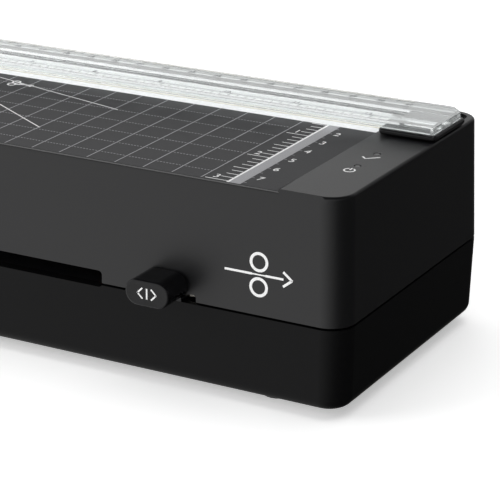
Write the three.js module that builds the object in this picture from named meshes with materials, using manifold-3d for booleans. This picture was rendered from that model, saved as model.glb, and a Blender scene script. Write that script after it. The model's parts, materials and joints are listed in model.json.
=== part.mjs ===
// A4 pouch laminator with a paper trimmer built into its lid.
// Millimetres. +X runs along the length, to the right of a person in front of it, +Y points to the rear
// and +Z up. The origin is on the table, under the middle of the machine's box.
import * as THREE from 'three';
import { mergeVertices } from 'three/addons/utils/BufferGeometryUtils.js';
import Module from 'manifold-3d';

const wasm = await Module();
wasm.setup();

// ---------------------------------------------------------------- driving sizes

const gap = 0.3; // left between two pieces that touch

const casing = {
  length: 358.2,
  depth: 101,
  upperHeight: 40.1, // from the seam between the two halves to the top
  seamGap: 0.6,
  wall: 2.2,
  cornerRadius: 8,
  topEdge: 1,
  bottomEdge: 4,
  upperDraft: 1.5, // degrees
  lowerDraft: 1.8,
  lipHeight: 1.8,
  lipWall: 1.2,
  rightBay: 82.7, // from the right end to the pouch slot
  leftBay: 43.5, // from the left end to the pouch slot
};

const foot = { height: 3, radius: 6, recess: 1, fromEnd: 28.6, fromFront: 14 };

const slot = { above: 4.3, below: 1, radius: 1.2 }; // pouch slot, measured from the seam

const trimmer = {
  rim: 2.8, // casing left standing behind the trough
  trough: 9.4,
  troughDrop: 3.4,
  stripDepth: 19.5,
  matDrop: 1, // the mat lies this far below the end panels
  lip: 1.4, // front wall left standing in front of the mat
  matThickness: 1.6,
  panelWidth: 22.5, // end panel beside the mat
  grooveWidth: 1.6,
  grooveDepth: 0.5,
  insertWidth: 4,
  insertDepth: 1,
};

const rail = {
  width: 24.2,
  thickness: 2.4,
  plate: 1.2,
  leg: 1.6,
  aboveMat: 3.4,
  overhang: 4.5, // the rail's front edge stands this far in front of the strip
  endMargin: 1.8, // from the rail's free end to the casing's end
  channelWidth: 7.4,
  channelWall: 1.1,
  channelFromFront: 11.2, // front edge of the rail to the channel's middle
  slitWidth: 2.2,
  slitEnd: 15, // solid plate beyond the slit
  cornerCut: 4,
  seatMargin: 1.6, // from the mat's end to the rail's seat
  pinFromEnd: 11.1,
  pinRadius: 1.5,
  pinAbovePanel: 5.2,
  knuckleRadius: 4,
};

const carriage = { length: 46, height: 17, cheek: 1.5, lip: 1, hook: 1.4, parking: 25, footLength: 40 };

const blade = {
  radius: 9,
  thickness: 0.8,
  clearance: 1.8, // above the mat while the blade is not pressed
  axleRadius: 1,
  travel: 2,
  holder: 24,
  holderDepth: 11.2,
  cap: 4,
  capReach: 3, // how far the cap stands out over the holder, front and rear
};

const knob = {
  reach: 12,
  width: 15.1,
  height: 8.3,
  fromEnd: 59.35,
  aboveSeam: 1.05,
  travel: 7.5,
  slotAbove: 2.6, // the stem's slot, measured from the seam
  slotBelow: 3,
  slotMargin: 1.3,
  slotSpare: 3, // room on the side that the knob doesn't move to
};

const release = {
  slope: 0.25,
  plate: 2,
  low: 5.6,
  rampFoot: 12.6,
  rampLead: 2,
  rampLength: 17,
  tail: 7.8,
  lostMotion: 0.35, // between the ramp and the arm that it lifts
};

const roller = {
  radius: 11,
  coreRadius: 7,
  journalRadius: 3,
  nipGap: 0.4,
  toRear: 41,
  aboveSeam: 1.6, // from the seam to the nip
  aboveFloor: 4.1, // from the casing's floor to the lower roller
};

const gear = {
  teeth: 20,
  pinionTeeth: 12,
  width: 6,
  addendum: 0.8, // tooth heights in modules
  dedendum: 1.2,
};

const frame = {
  thickness: 1.5,
  toSlot: 6.6,
  front: 42,
  rear: 26,
  belowCeiling: 2.4,
  flange: 8,
  liftRoom: 2.4, // height of the upper roller's slots beyond a round hole
  tieRadius: 2.5,
  tieInset: 6,
  tieHeight: 9,
};

const bearing = { front: 8, rear: 15.5, height: 12, thickness: 5.7, armHeight: 3, armAbove: 3.5 };

const spring = { radius: 2.5, wire: 0.7, turns: 4 };

const heater = { plate: 3, gap: 3.2, setback: 22, strip: 1.3, stripWidth: 12 };

const motor = {
  radius: 21,
  length: 20,
  shaft: 2,
  beforeShaft: 5.1, // the motor's middle stands this far in front of its geared shaft
  aboveFloor: 2.8,
  fromFrame: 9,
  bracket: 1.5,
  pillar: 2.5,
  terminals: 5,
};

const board = { height: 12, thickness: 1.6, post: 2.5, postInset: 5, margin: 6, front: 17, rear: 17 };

const vent = { width: 3, pitch: 24, count: 6, front: 30, rear: 6 };

const guide = { fromWall: 4.2, drop: 2, thickness: 2.4, toPlate: 2, toRoller: 2 };

const gland = { reach: 3, radius: 5.5, fromEnd: 51.1, height: 17 };

const powerSwitch = {
  width: 19,
  height: 13,
  reach: 1.5,
  bezel: 2,
  shell: 1.5,
  deep: 12,
  fromEnd: 27.1,
  centre: 17,
  swing: 10,
};

const screw = {
  fromEnd: 11.1,
  fromWall: 12,
  radius: 1.5,
  head: 2.8,
  headHeight: 2,
  boss: 4,
  sink: 7,
  length: 34,
  spare: 5, // bore left empty beyond the screw's tip
};

const lens = { radius: 0.9, fromEnd: 12.1, first: 32.2, pitch: 13.3, length: 8.3, sunk: 0.1 };

const indicator = { left: 22, right: 7, front: 24, rear: 54, belowTop: 13, lamp: 1.5 };

const transformer = { left: 4, right: 26, front: 26, rear: 6, height: 16.4 };

const capacitor = { radius: 5, height: 16, fromLeft: 9, behindRollers: 8 };

// ---------------------------------------------------------------- places that follow from the sizes

const halfLength = casing.length / 2;
const frontY = (knob.reach - gland.reach - casing.depth) / 2;
const rearY = frontY + casing.depth;
const midY = (frontY + rearY) / 2;
const floorZ = foot.height + casing.wall;
const nipZ = floorZ + roller.aboveFloor + 2 * roller.radius + roller.nipGap / 2;
const seamZ = nipZ - roller.aboveSeam;
const topZ = seamZ + casing.upperHeight;
const topInset = Math.tan(THREE.MathUtils.degToRad(casing.upperDraft)) * (topZ - seamZ);

const slotLeft = -halfLength + casing.leftBay;
const slotRight = halfLength - casing.rightBay;
const slotBottom = seamZ - slot.below;
const slotTop = seamZ + slot.above;
const slotMiddle = (slotLeft + slotRight) / 2;

const matTop = topZ - trimmer.matDrop;
const deckTop = matTop - trimmer.matThickness - gap;
const ceiling = deckTop - casing.wall;
const matHalf = halfLength - trimmer.panelWidth;
const troughRear = rearY - topInset - trimmer.rim;
const stripRear = troughRear - trimmer.trough;
const stripFront = stripRear - trimmer.stripDepth;
const matFront = frontY + topInset + trimmer.lip + gap;

const railFront = stripFront - rail.overhang;
const railRear = railFront + rail.width;
const railBottom = matTop + rail.aboveMat;
const railTop = railBottom + rail.thickness;
const railEnd = halfLength - rail.endMargin;
const pinX = -halfLength + rail.pinFromEnd;
const pinZ = topZ + rail.pinAbovePanel;
const slitY = railFront + rail.channelFromFront;
const slitLeft = pinX + rail.slitEnd;
const slitRight = railEnd - rail.slitEnd;
const carriageX = slitLeft + carriage.parking;
const bladeZ = matTop + blade.clearance + blade.radius;

const rollerY = rearY - roller.toRear;
const rollerSpacing = 2 * roller.radius + roller.nipGap;
const lowerAxisZ = nipZ - rollerSpacing / 2;
const upperAxisZ = nipZ + rollerSpacing / 2;
const leftPlateX = slotLeft - frame.toSlot;
const rightPlateX = slotRight + frame.toSlot;
const plateFront = rollerY - frame.front;
const plateRear = rollerY + frame.rear;
const plateTop = ceiling - frame.belowCeiling;

const gearModule = rollerSpacing / gear.teeth;
const gearTip = rollerSpacing / 2 + gear.addendum * gearModule;
const pinionRadius = (gearModule * gear.pinionTeeth) / 2;
const gearX = rightPlateX + frame.thickness + 1.5;
const pinionY = rollerY - rollerSpacing / 2 - pinionRadius;
const bracketX = rightPlateX + frame.thickness + motor.fromFrame;
const motorX = bracketX + motor.bracket + gap;
const boardLeft = motorX + motor.length + board.margin;
const boardRight = halfLength - board.margin;

const knobX = halfLength - knob.fromEnd;
const knobZ = seamZ + knob.aboveSeam + knob.height / 2;
const stemHalf = knob.width / 2 - 1.9;

// ---------------------------------------------------------------- finishes

const finish = (colour, roughness, metalness = 0) => ({ color: colour, roughness, metalness });
const blackPlastic = finish(0x2b2b2e, 0.5);
const glossPlastic = finish(0x121214, 0.18);
const greyPlastic = finish(0x5a5b5e, 0.6);
const charcoalVinyl = finish(0x3a3a3c, 0.8);
const silverPlastic = finish(0xd9dadb, 0.45);
const clearAcrylic = finish(0xdfe4e6, 0.08);
const rubber = finish(0x1b1b1c, 0.9);
const silicone = finish(0xb5462f, 0.75);
const aluminium = finish(0xbfc2c4, 0.4, 1);
const steel = finish(0x8f9396, 0.45, 1);
const springSteel = finish(0x6f7478, 0.35, 1);
const mica = finish(0x9a7b4f, 0.7);
const acetal = finish(0xe8e6df, 0.5);
const circuitGreen = finish(0x1f5d3a, 0.5);

// ---------------------------------------------------------------- solids

// Directions of an outline's two sides and of its extrusion, for prisms along each axis.
// Along x an outline is drawn in (y, z), along y in (x, z) and along z in (x, y).
const directions = {
  x: [[0, 1, 0], [0, 0, 1], [1, 0, 0]],
  y: [[1, 0, 0], [0, 0, 1], [0, -1, 0]],
  z: [[1, 0, 0], [0, 1, 0], [0, 0, 1]],
};

function solid(geometry) {
  geometry.deleteAttribute('normal');
  geometry.deleteAttribute('uv');
  const merged = mergeVertices(geometry, 1e-4);
  const index = merged.index.array;
  const triVerts = [];
  for (let i = 0; i < index.length; i += 3) {
    const [a, b, c] = index.slice(i, i + 3);
    if (a !== b && b !== c && c !== a) triVerts.push(a, b, c);
  }
  return new wasm.Manifold(new wasm.Mesh({
    numProp: 3,
    vertProperties: new Float32Array(merged.attributes.position.array),
    triVerts: Uint32Array.from(triVerts),
  }));
}

function prism(axis, outline, from, to, { chamfer = 0, curveSegments = 3 } = {}) {
  const geometry = new THREE.ExtrudeGeometry(outline, {
    depth: to - from - 2 * chamfer,
    bevelEnabled: chamfer > 0,
    bevelThickness: chamfer,
    bevelSize: chamfer,
    bevelOffset: -chamfer,
    bevelSegments: 1,
    curveSegments,
  });
  geometry.translate(0, 0, chamfer);
  const [side, up, along] = directions[axis].map((entries) => new THREE.Vector3(...entries));
  geometry.applyMatrix4(new THREE.Matrix4().makeBasis(side, up, along));
  const start = axis === 'y' ? to : from;
  const offset = along.clone().multiplyScalar(start * (axis === 'y' ? -1 : 1));
  geometry.translate(offset.x, offset.y, offset.z);
  return solid(geometry);
}

function block([x0, y0, z0], [x1, y1, z1]) {
  const geometry = new THREE.BoxGeometry(x1 - x0, y1 - y0, z1 - z0);
  geometry.translate((x0 + x1) / 2, (y0 + y1) / 2, (z0 + z1) / 2);
  return solid(geometry);
}

// A round bar along one axis. centre holds the other two coordinates, in the order x, y, z.
function bar(axis, radius, from, to, centre = [0, 0], sides = 16) {
  const geometry = new THREE.CylinderGeometry(radius, radius, to - from, sides);
  const middle = (from + to) / 2;
  if (axis === 'x') geometry.rotateZ(-Math.PI / 2).translate(middle, ...centre);
  if (axis === 'y') geometry.translate(centre[0], middle, centre[1]);
  if (axis === 'z') geometry.rotateX(Math.PI / 2).translate(...centre, middle);
  return solid(geometry);
}

// A body of revolution about z, from [radius, height] pairs listed from the bottom up.
function turned(profile, sides = 20) {
  const points = profile.map(([radius, height]) => new THREE.Vector2(radius, height));
  return solid(new THREE.LatheGeometry(points, sides).rotateX(Math.PI / 2));
}

const rising = (a, b) => a - b;
const join = (solids) => solids.reduce((sum, next) => sum.add(next));
const cut = (stock, solids) => solids.reduce((left, tool) => left.subtract(tool), stock);

function polygon(points) {
  return new THREE.Shape(points.map(([side, up]) => new THREE.Vector2(side, up)));
}

function roundedRectangle(left, right, low, high, radius) {
  const shape = new THREE.Shape();
  shape.absarc(right - radius, low + radius, radius, -Math.PI / 2, 0);
  shape.absarc(right - radius, high - radius, radius, 0, Math.PI / 2);
  shape.absarc(left + radius, high - radius, radius, Math.PI / 2, Math.PI);
  shape.absarc(left + radius, low + radius, radius, Math.PI, Math.PI * 1.5);
  return shape;
}

// A rounded block standing on z = 0 that narrows upwards by the draft, as a moulding does.
function draftedBlock(length, depth, radius, height, draft, edge = 0, edgeSteps = 1) {
  const outline = roundedRectangle(-length / 2, length / 2, -depth / 2, depth / 2, radius);
  const geometry = new THREE.ExtrudeGeometry(outline, {
    depth: height - edge,
    bevelEnabled: edge > 0,
    bevelThickness: edge,
    bevelSize: edge,
    bevelOffset: -edge,
    bevelSegments: edgeSteps,
    curveSegments: 2,
  });
  const slope = Math.tan(THREE.MathUtils.degToRad(draft));
  const place = geometry.attributes.position;
  for (let i = 0; i < place.count; i += 1) {
    const inset = slope * place.getZ(i);
    place.setX(i, place.getX(i) * (1 - (2 * inset) / length));
    place.setY(i, place.getY(i) * (1 - (2 * inset) / depth));
  }
  return geometry;
}

// ---------------------------------------------------------------- scene graph

const machine = new THREE.Group();

function piece(name, manifold, look, position = [0, 0, 0], parent = machine) {
  const { vertProperties, triVerts } = manifold.getMesh();
  const geometry = new THREE.BufferGeometry();
  geometry.setAttribute('position', new THREE.BufferAttribute(vertProperties, 3));
  geometry.setIndex(new THREE.BufferAttribute(triVerts, 1));
  geometry.computeVertexNormals();
  const mesh = new THREE.Mesh(geometry, new THREE.MeshStandardMaterial(look));
  mesh.name = name;
  mesh.position.set(...position);
  parent.add(mesh);
}

function group(position, rotation = [0, 0, 0], parent = machine) {
  const branch = new THREE.Group();
  branch.position.set(...position);
  branch.rotation.set(...rotation);
  parent.add(branch);
  return branch;
}

// ---------------------------------------------------------------- casing

const screwPlaces = [-1, 1].flatMap((side) => [
  [side * (halfLength - screw.fromEnd), frontY + screw.fromWall],
  [side * (halfLength - screw.fromEnd), rearY - screw.fromWall],
]);
const footPlaces = {
  front_left: [foot.fromEnd - halfLength, frontY + foot.fromFront],
  front_right: [halfLength - foot.fromEnd, frontY + foot.fromFront],
  rear_left: [foot.fromEnd - halfLength, rearY - foot.fromFront],
  rear_right: [halfLength - foot.fromEnd, rearY - foot.fromFront],
};
const knobSlotLeft = knobX - stemHalf - knob.travel - knob.slotMargin;
const knobSlotRight = knobX + stemHalf + knob.slotMargin + knob.slotSpare;
const switchX = halfLength - powerSwitch.fromEnd;
const glandX = halfLength - gland.fromEnd;
const pouchOutline = roundedRectangle(slotLeft, slotRight, slotBottom, slotTop, slot.radius);
const knobOutline = roundedRectangle(
  knobSlotLeft, knobSlotRight, seamZ - knob.slotBelow, seamZ + knob.slotAbove, 1);
const wallDepth = 6; // reach of the cuts through the front and rear walls
const frontCut = (outline) => prism('y', outline, frontY - wallDepth, frontY + wallDepth);
const rearCut = (outline) => prism('y', outline, rearY - wallDepth, rearY + wallDepth);

function lensPlaces() {
  return [0, 1].map((row) => [halfLength - lens.fromEnd, frontY + lens.first + row * lens.pitch]);
}

function upperHousing() {
  const base = seamZ + casing.seamGap / 2;
  const { length, depth, wall, cornerRadius, upperDraft, topEdge } = casing;
  const outside = draftedBlock(length, depth, cornerRadius, topZ - base, upperDraft, topEdge);
  const inside = draftedBlock(
    length - 2 * wall, depth - 2 * wall, cornerRadius - wall, ceiling - base + 1, upperDraft);
  const shell = solid(outside.translate(0, midY, base))
    .subtract(block([-length, frontY - 9, base - 9], [length, rearY + 9, base]))
    .subtract(solid(inside.translate(0, midY, base - 1)));
  const bosses = screwPlaces.map(([x, y]) => bar('z', screw.boss, base, ceiling + 1, [x, y], 12));
  const trough = roundedRectangle(
    topInset + trimmer.rim - halfLength, halfLength - topInset - trimmer.rim, stripRear, troughRear, 4);
  const pockets = [-1, 1].map((side) => {
    const ends = [matHalf + wall, halfLength - topInset - wall - 1].map((x) => side * x).sort(rising);
    const toBoss = screw.fromWall + screw.boss + 1;
    return block([ends[0], frontY + toBoss, ceiling - 1], [ends[1], rearY - toBoss, topZ - wall]);
  });
  return cut(join([shell, ...bosses]), [
    block([-matHalf - gap, frontY - 9, matTop], [matHalf + gap, stripRear + 1, topZ + 9]),
    block([-matHalf - gap, matFront - gap, deckTop], [matHalf + gap, stripRear + 1, matTop + 1]),
    prism('z', trough, topZ - trimmer.troughDrop, topZ + 9),
    ...pockets,
    ...lensPlaces().map((place) => bar('z', lens.radius + gap, topZ - 9, topZ + 9, place, 12)),
    ...screwPlaces.map((place) => bar(
      'z', screw.radius + gap, base - 1, base + screw.length, place, 8)),
    frontCut(pouchOutline),
    rearCut(pouchOutline),
    frontCut(knobOutline),
  ]);
}

function lowerHousing() {
  const rim = seamZ - casing.seamGap / 2;
  const { length, depth, wall, cornerRadius, lowerDraft, bottomEdge, lipHeight, lipWall } = casing;
  const hang = (geometry, top) => solid(geometry.rotateX(Math.PI).translate(0, midY, top));
  const ring = (inset, low, high) => prism('z', roundedRectangle(
    inset - length / 2, length / 2 - inset, frontY + inset, rearY - inset, cornerRadius - inset),
  low, high, { curveSegments: 2 });
  const stock = draftedBlock(length, depth, cornerRadius, rim - foot.height, lowerDraft, bottomEdge, 2);
  const outside = hang(stock, rim)
    .subtract(block([-length, frontY - 9, rim], [length, rearY + 9, rim + 9]));
  const inside = hang(draftedBlock(
    length - 2 * wall, depth - 2 * wall, cornerRadius - wall, rim - floorZ + 1, lowerDraft), rim + 1);
  const shell = join([
    outside.subtract(inside),
    join([ring(wall - 0.5, rim - 3, rim - 0.6), ring(wall + gap, rim - 1, rim + lipHeight)])
      .subtract(ring(wall + gap + lipWall, rim - 4, rim + lipHeight + 1)),
    ...screwPlaces.map(([x, y]) => bar('z', screw.boss, floorZ - 1, rim, [x, y], 12)),
    ...boardPosts().map(([x, y]) => bar('z', board.post, floorZ - 1, board.height - gap, [x, y], 8)),
  ]);
  return cut(shell, [
    frontCut(pouchOutline),
    rearCut(pouchOutline),
    frontCut(knobOutline).subtract(block([-length, frontY - 9, 0], [length, frontY + wall - 0.4, rim])),
    ...Object.values(footPlaces).map((place) => bar(
      'z', foot.radius + gap, 0, foot.height + foot.recess, place)),
    ...screwPlaces.map((place) => bar('z', screw.radius + gap, 0, rim + 1, place, 8)),
    ...screwPlaces.map((place) => bar('z', screw.head + gap, 0, foot.height + screw.sink, place, 10)),
    ...ventPlaces().map((x) => block(
      [x - vent.width / 2, rollerY - vent.front, 0],
      [x + vent.width / 2, rollerY - vent.rear, floorZ + 1])),
    rearCut(switchOutline(gap, 1)),
    bar('y', gland.radius + gap, rearY - wallDepth, rearY + wallDepth, [glandX, gland.height]),
  ]);
}

function boardPosts() {
  return [boardLeft + board.postInset, boardRight - board.postInset].flatMap((x) => [
    [x, frontY + board.front + board.postInset],
    [x, rearY - board.rear - board.postInset],
  ]);
}

function ventPlaces() {
  const first = slotMiddle - ((vent.count - 1) / 2) * vent.pitch;
  return Array.from({ length: vent.count }, (_, count) => first + count * vent.pitch);
}

// The power switch's opening in the rear wall, larger or smaller by grow on each side.
function switchOutline(grow, radius) {
  const halfWidth = powerSwitch.width / 2 + grow;
  const halfHeight = powerSwitch.height / 2 + grow;
  return roundedRectangle(
    switchX - halfWidth, switchX + halfWidth,
    powerSwitch.centre - halfHeight, powerSwitch.centre + halfHeight, radius);
}

piece('upper_housing', upperHousing(), blackPlastic);
piece('lower_housing', lowerHousing(), blackPlastic);

for (const [corner, [x, y]] of Object.entries(footPlaces)) {
  piece(`foot_${corner}`, turned([
    [0, 0], [foot.radius - 1, 0], [foot.radius, 1], [foot.radius, foot.height + foot.recess - gap],
    [0, foot.height + foot.recess - gap],
  ]), rubber, [x, y, 0]);
}

// Four self-tapping screws, put in from below.
screwPlaces.forEach(([x, y], count) => {
  const seat = foot.height + screw.sink - gap;
  piece(`housing_screw_${count + 1}`, join([
    bar('z', screw.head, seat - screw.headHeight, seat, [x, y], 12),
    bar('z', screw.radius, seat - 0.5, seat + screw.length - screw.spare, [x, y], 8),
  ]), steel);
});

const lensTop = topZ - lens.sunk;
lensPlaces().forEach((place, row) => {
  piece(['power_lens', 'ready_lens'][row], bar(
    'z', lens.radius, lensTop - lens.length, lensTop, place, 12), glossPlastic);
});

// A small board under the two light pipes, with a lamp under each.
const indicatorZ = topZ - indicator.belowTop;
piece('indicator_board', join([
  block(
    [halfLength - indicator.left, frontY + indicator.front, indicatorZ],
    [halfLength - indicator.right, frontY + indicator.rear, indicatorZ + board.thickness]),
  ...lensPlaces().map((place) => bar(
    'z', indicator.lamp, indicatorZ + 1, lensTop - lens.length - gap, place, 10)),
]), circuitGreen);

// ---------------------------------------------------------------- trimmer bed

function cuttingMat() {
  return block(
    [-matHalf, matFront, matTop - trimmer.matThickness], [matHalf, stripFront - gap, matTop]);
}

const insertHalf = trimmer.insertWidth / 2;

function baseStrip() {
  const bed = block(
    [-matHalf, stripFront, matTop - trimmer.matThickness], [matHalf, stripRear - gap, matTop]);
  return bed.subtract(block(
    [-matHalf - 1, slitY - insertHalf - gap, matTop - trimmer.insertDepth - gap],
    [matHalf + 1, slitY + insertHalf + gap, matTop + 1]));
}

// The soft insert that the blade runs on, with its groove.
function cuttingInsert() {
  return block(
    [-matHalf, slitY - insertHalf, matTop - trimmer.insertDepth],
    [matHalf, slitY + insertHalf, matTop],
  ).subtract(block(
    [-matHalf - 1, slitY - trimmer.grooveWidth / 2, matTop - trimmer.grooveDepth],
    [matHalf + 1, slitY + trimmer.grooveWidth / 2, matTop + 1]));
}

piece('cutting_mat', cuttingMat(), charcoalVinyl);
piece('base_strip', baseStrip(), silverPlastic);
piece('cutting_insert', cuttingInsert(), acetal);
piece('rail_seat', prism('z', roundedRectangle(
  matHalf + rail.seatMargin, halfLength - topInset - 0.1, railFront - 0.5, stripRear - gap, 2),
topZ + gap, railBottom - gap, { chamfer: 0.5, curveSegments: 2 }), blackPlastic);

// The rail's hinge: two ears joined by a bar behind the rail's end.
const ear = { thickness: 3, right: 8, radius: 4.8, back: 6.2, plate: 3.8 };
const earFront = railFront - gap - ear.thickness;
const earRear = railRear + gap + ear.thickness;

function hingeBlock() {
  const side = new THREE.Shape();
  side.moveTo(pinX - ear.back - ear.plate, topZ + gap);
  side.lineTo(pinX + ear.right, topZ + gap);
  side.absarc(pinX, pinZ, ear.radius, 0, Math.PI);
  side.lineTo(pinX - ear.back - ear.plate, pinZ - 1);
  return cut(prism('y', side, earFront, earRear, { curveSegments: 3 }), [
    block([pinX - ear.back, railFront - gap, 0], [pinX + 20, railRear + gap, topZ + 40]),
    bar('y', rail.pinRadius + gap, earFront + 1.2, earRear + 9, [pinX, pinZ], 12),
  ]);
}

piece('hinge_block', hingeBlock(), blackPlastic);
piece('hinge_pin', bar('y', rail.pinRadius, earFront + 1.5, earRear - 0.1, [pinX, pinZ], 12), steel);

// ---------------------------------------------------------------- ruler rail and cutter

// Section of the rail in (y, z): a thin plate on two legs, with a channel that the carriage's
// foot runs in.
const channelInner = (rail.channelWidth - rail.channelWall) / 2;
const channelOuter = (rail.channelWidth + rail.channelWall) / 2;
const plateBottom = railTop - rail.plate;

function railSection() {
  return polygon([
    [railFront, railBottom], [railFront + rail.leg, railBottom], [railFront + rail.leg, plateBottom],
    [slitY - channelOuter, plateBottom], [slitY - channelOuter, railBottom],
    [slitY + channelOuter, railBottom], [slitY + channelOuter, plateBottom],
    [railRear - rail.leg, plateBottom], [railRear - rail.leg, railBottom],
    [railRear, railBottom], [railRear, railTop],
    [slitY + channelInner, railTop], [slitY + channelInner, plateBottom],
    [slitY - channelInner, plateBottom], [slitY - channelInner, railTop], [railFront, railTop],
  ]);
}

function rulerRail() {
  const { leg, knuckleRadius, slitWidth, cornerCut } = rail;
  const left = pinX + knuckleRadius - 0.6;
  const plugs = [[left, slitLeft - 1], [slitRight + 1, railEnd]].map(([from, to]) => block(
    [from, slitY - channelInner - 0.2, plateBottom - 0.2], [to, slitY + channelInner + 0.2, railTop]));
  const corner = polygon([
    [railEnd + 1, railRear - cornerCut - 1],
    [railEnd + 1, railRear + 1],
    [railEnd - cornerCut - 1, railRear + 1],
  ]);
  const slit = roundedRectangle(
    slitLeft, slitRight, slitY - slitWidth / 2, slitY + slitWidth / 2, slitWidth / 2 - 0.05);
  return cut(join([
    prism('x', railSection(), left, railEnd),
    ...plugs,
    block([railEnd - leg, railFront, railBottom], [railEnd, railRear, railTop]),
    bar('y', knuckleRadius, railFront, railRear, [pinX, pinZ]),
  ]), [
    prism('z', corner, railBottom - 1, railTop + 1),
    prism('z', slit, railBottom - 1, railTop + 1),
    bar('y', rail.pinRadius + gap, railFront - 1, railRear + 1, [pinX, pinZ], 12),
  ]);
}

piece('ruler_rail', rulerRail(), { ...clearAcrylic, transparent: true, opacity: 0.5 });

// Everything on the carriage is drawn about the blade's line, at the middle of the carriage.
const cutter = group([carriageX, slitY, 0]);
const holderBottom = railTop + gap + blade.travel + 0.1;
const carriageTop = railTop + carriage.height;
const holderX = blade.holder / 2;
const holderY = blade.holderDepth / 2;
const wing = { reach: 6, thickness: 2, drop: 6 }; // lug on the holder that its spring pushes up
const wingTop = carriageTop - wing.drop;
const springFloor = railTop + gap + 1.4;

function carriageBody() {
  const half = carriage.length / 2;
  const front = railFront - gap - carriage.cheek - slitY;
  const rear = railRear + gap + carriage.cheek - slitY;
  const bottom = railBottom - gap - carriage.lip;
  const side = new THREE.Shape();
  side.moveTo(-half, bottom);
  side.lineTo(half, bottom);
  side.lineTo(half, railTop + 5);
  side.quadraticCurveTo(half - 1, carriageTop, half - 9, carriageTop);
  side.lineTo(9 - half, carriageTop);
  side.quadraticCurveTo(1 - half, carriageTop, -half, railTop + 5);
  const shell = prism('y', side, front, rear, { chamfer: 1.2, curveSegments: 4 });
  const runner = block(
    [-carriage.footLength / 2, gap - channelInner, plateBottom + gap],
    [carriage.footLength / 2, channelInner - gap, railTop + gap + 1]);
  const hollow = cut(shell, [
    block(
      [-half - 1, railFront - gap - slitY, railBottom - gap],
      [half + 1, railRear + gap - slitY, railTop + gap]),
    block(
      [-half - 1, railFront + carriage.hook - slitY, bottom - 1],
      [half + 1, railRear - carriage.hook - slitY, railTop]),
  ]);
  return cut(hollow.add(runner), [
    block(
      [-holderX - gap, -holderY - gap, plateBottom], [holderX + gap, holderY + gap, carriageTop + 1]),
    block(
      [holderX - 1, -holderY - gap, springFloor],
      [holderX + wing.reach + gap, holderY + gap, carriageTop + 1]),
  ]);
}

// The holder is pressed down to cut. Its cap stands above the carriage.
function bladeHolder() {
  const capBottom = carriageTop + gap + blade.travel;
  const capY = holderY + blade.capReach;
  const cap = prism('z', roundedRectangle(-holderX - 2, holderX + 2, -capY, capY, 4),
    capBottom, capBottom + blade.cap, { chamfer: 1 });
  return cut(join([
    block([-holderX, -holderY, holderBottom], [holderX, holderY, capBottom + 1]),
    block([holderX - 1, -holderY, wingTop - wing.thickness], [holderX + wing.reach, holderY, wingTop]),
    cap,
  ]), [
    block(
      [-blade.radius - 0.6, -blade.thickness / 2 - 0.4, holderBottom - 1],
      [blade.radius + 0.6, blade.thickness / 2 + 0.4, bladeZ + blade.radius + 0.6]),
    bar('y', blade.axleRadius + gap, -holderY - 1, holderY + 1, [0, bladeZ], 12),
  ]);
}

function coilSpring(low, high) {
  class Coil extends THREE.Curve {
    getPoint(t, target = new THREE.Vector3()) {
      const turn = t * spring.turns * Math.PI * 2;
      const height = low + spring.wire / 2 + t * (high - low - spring.wire);
      return target.set(spring.radius * Math.cos(turn), spring.radius * Math.sin(turn), height);
    }
  }
  const wire = new THREE.Shape().absarc(0, 0, spring.wire / 2, 0, Math.PI * 2);
  return solid(new THREE.ExtrudeGeometry(wire, {
    extrudePath: new Coil(), steps: spring.turns * 10, curveSegments: 2, bevelEnabled: false,
  }));
}

function bladeWheel() {
  const { radius, thickness, axleRadius } = blade;
  const edge = 0.9;
  return turned([
    [axleRadius + gap, -thickness / 2], [radius - edge, -thickness / 2], [radius, 0],
    [radius - edge, thickness / 2], [axleRadius + gap, thickness / 2], [axleRadius + gap, -thickness / 2],
  ], 32);
}

piece('blade_carriage', carriageBody(), blackPlastic, [0, 0, 0], cutter);
piece('blade_holder', bladeHolder(), greyPlastic, [0, 0, 0], cutter);
piece('blade_spring', coilSpring(springFloor + gap, wingTop - wing.thickness - gap), springSteel,
  [holderX + wing.reach / 2 + 0.2, 0, 0], cutter);
piece('blade_axle', bar('y', blade.axleRadius, 0.6 - holderY, holderY - 0.6, [0, bladeZ], 12), steel,
  [0, 0, 0], cutter);
piece('blade_wheel', bladeWheel(), steel, [0, 0, 0], group([0, 0, bladeZ], [Math.PI / 2, 0, 0], cutter));

// ---------------------------------------------------------------- roller frame

function sidePlate(inward) {
  const face = inward > 0 ? leftPlateX : rightPlateX;
  const [low, high] = [face, face - inward * frame.thickness].sort(rising);
  const bottom = floorZ + gap;
  const tabs = [
    [[plateFront, bottom], [plateRear, bottom + frame.thickness]],
    [[rollerY - 6, plateTop - frame.thickness], [rollerY + 6, plateTop]],
  ].map(([[y0, z0], [y1, z1]]) => {
    const [from, to] = [face - inward * 0.5, face + inward * frame.flange].sort(rising);
    return block([from, y0, z0], [to, y1, z1]);
  });
  const outline = polygon([
    [plateFront, bottom], [plateRear, bottom], [plateRear, plateTop - 16], [plateRear - 12, plateTop],
    [plateFront + 24, plateTop], [plateFront, plateTop - 22],
  ]);
  const hole = roller.journalRadius + 1.2;
  return cut(join([prism('x', outline, low, high), ...tabs]), [
    bar('x', hole, low - 1, high + 1, [rollerY, lowerAxisZ]),
    prism('x', roundedRectangle(
      rollerY - hole, rollerY + hole, upperAxisZ - hole, upperAxisZ + hole + frame.liftRoom, hole - 0.1),
    low - 1, high + 1),
  ]);
}

function bearingBlock(inward, axisZ) {
  const face = inward > 0 ? leftPlateX : rightPlateX;
  const [low, high] = [gap, gap + bearing.thickness].map((step) => face + inward * step).sort(rising);
  return block(
    [low, rollerY - bearing.front, axisZ - bearing.height / 2],
    [high, rollerY + bearing.rear, axisZ + bearing.height / 2],
  ).subtract(bar('x', roller.journalRadius + gap, low - 1, high + 1, [rollerY, axisZ]));
}

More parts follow.
